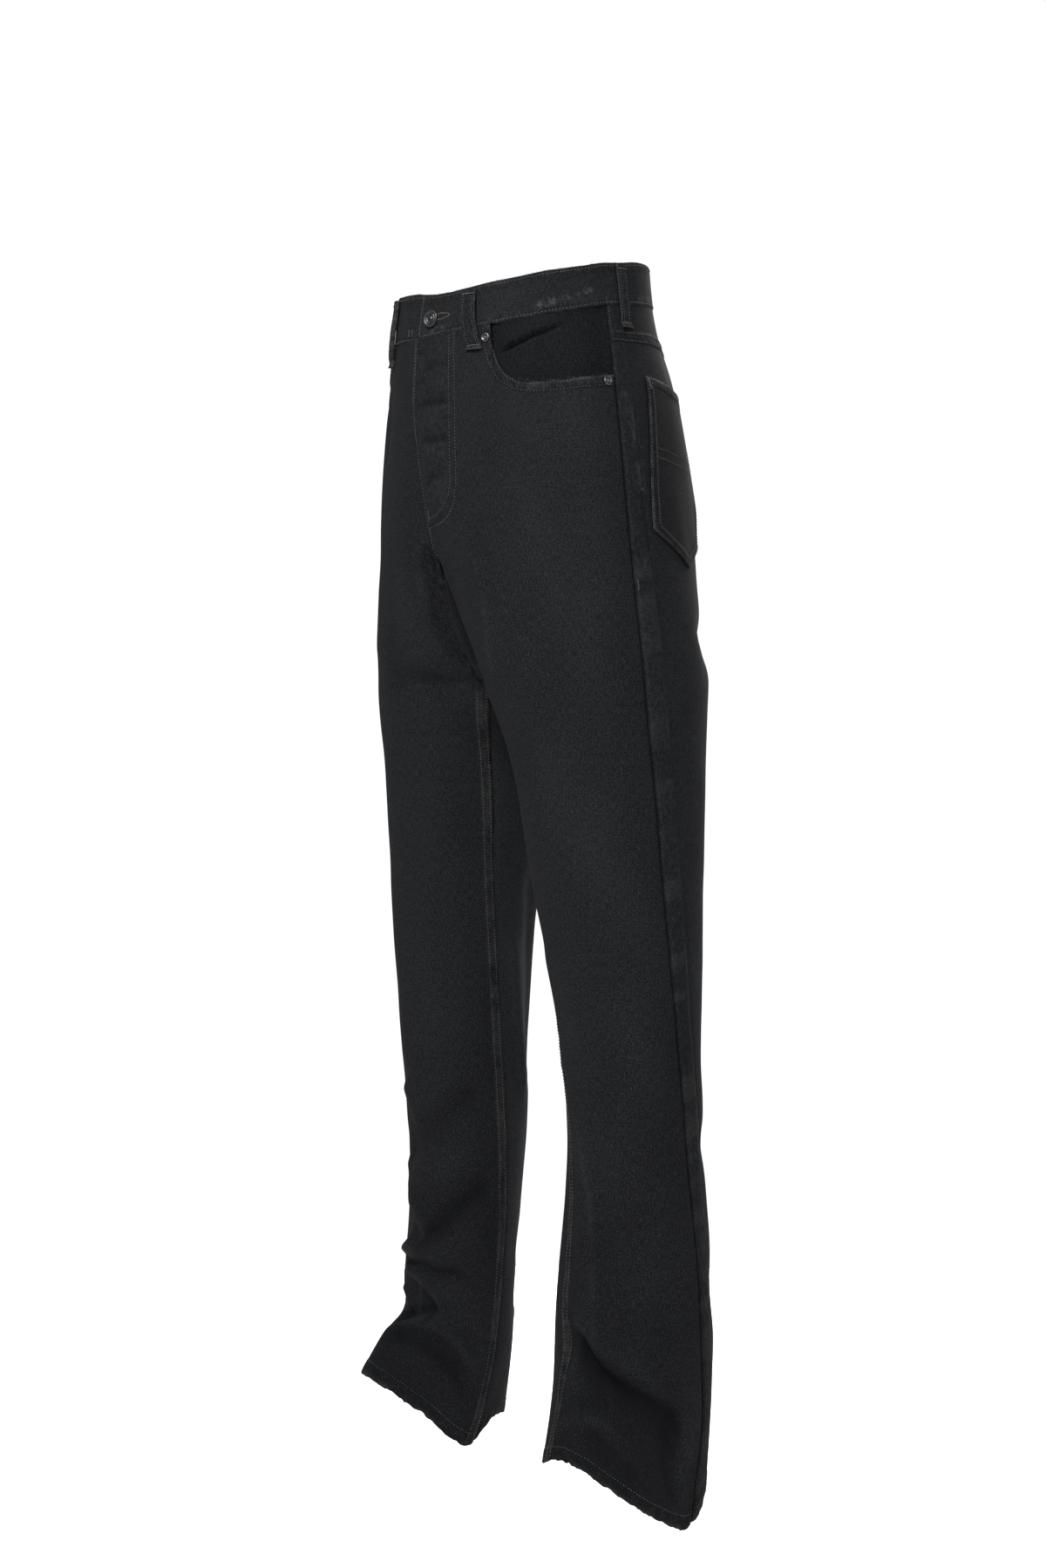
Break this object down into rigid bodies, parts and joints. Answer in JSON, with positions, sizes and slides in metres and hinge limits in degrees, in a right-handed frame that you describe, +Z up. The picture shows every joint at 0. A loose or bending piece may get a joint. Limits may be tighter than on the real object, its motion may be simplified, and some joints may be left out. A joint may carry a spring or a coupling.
{
  "type": "regular fit jeans",
  "caption": "Regular fit straight-leg denim jeans with a button fly, belt loops, back yoke, riveted front pockets and patch back pockets, hollow and open at waist and hems as worn.",
  "frame": {"origin": "middle of the waist opening, level with the top of the waistband at the side seams, where the wearer's waist holds the garment", "axes": "+Z up the wearer's body, -Y the front of the garment, +X the wearer's left"},
  "size_m": [0.4533, 0.2807, 1.1939],
  "materials": {
    "denim": "washed black cotton twill denim, matt",
    "denim_facing": "washed black cotton twill denim, less worn",
    "button_metal": "dark antique metal",
    "rivet_metal": "dull pewter-coloured metal"
  },
  "bodies": {
    "root": {"front_left": "denim", "front_right": "denim", "back_left": "denim", "back_right": "denim", "yoke_left": "denim", "yoke_right": "denim", "waistband": "denim", "belt_loop_back": "denim", "belt_loop_front_left": "denim", "belt_loop_front_right": "denim", "belt_loop_side_left": "denim", "belt_loop_side_right": "denim", "button_placket": "denim_facing", "pocket_facing_left": "denim_facing", "pocket_facing_right": "denim_facing", "back_pocket_left": "denim", "back_pocket_right": "denim", "shank_button": "button_metal", "rivet_left_1": "rivet_metal", "rivet_left_2": "rivet_metal", "rivet_right_1": "rivet_metal", "rivet_right_2": "rivet_metal"}
  },
  "joints": []
}
